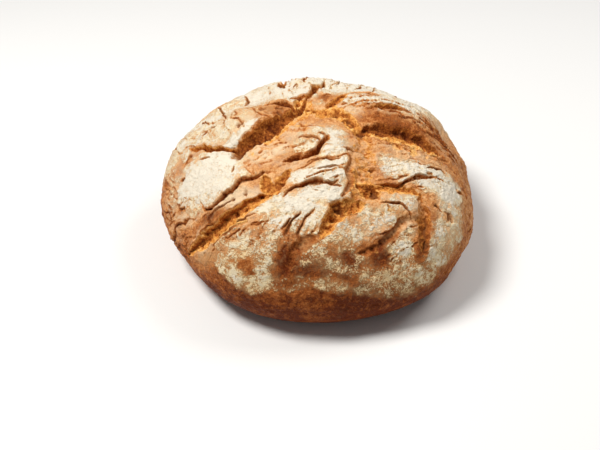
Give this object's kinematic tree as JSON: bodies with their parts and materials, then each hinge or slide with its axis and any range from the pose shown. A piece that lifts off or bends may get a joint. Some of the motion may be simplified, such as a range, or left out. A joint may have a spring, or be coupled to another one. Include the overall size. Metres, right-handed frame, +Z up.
{
  "type": "walnut bread",
  "caption": "Round rustic walnut loaf with a floured, browned crust that burst open into deep ragged tears; a whole bread that stands on its flat base.",
  "frame": {"origin": "on the surface that the loaf stands on, under the middle of its bounding box", "axes": "+Z up through the crown; seen from the front +X is to the right and +Y is away, and the front is the side of the picture"},
  "size_m": [0.2482, 0.246, 0.1186],
  "materials": {
    "crust": "dull browned bread crust dusted with flour, with golden torn crumb in the splits"
  },
  "bodies": {
    "root": {"loaf": "crust"}
  },
  "joints": []
}
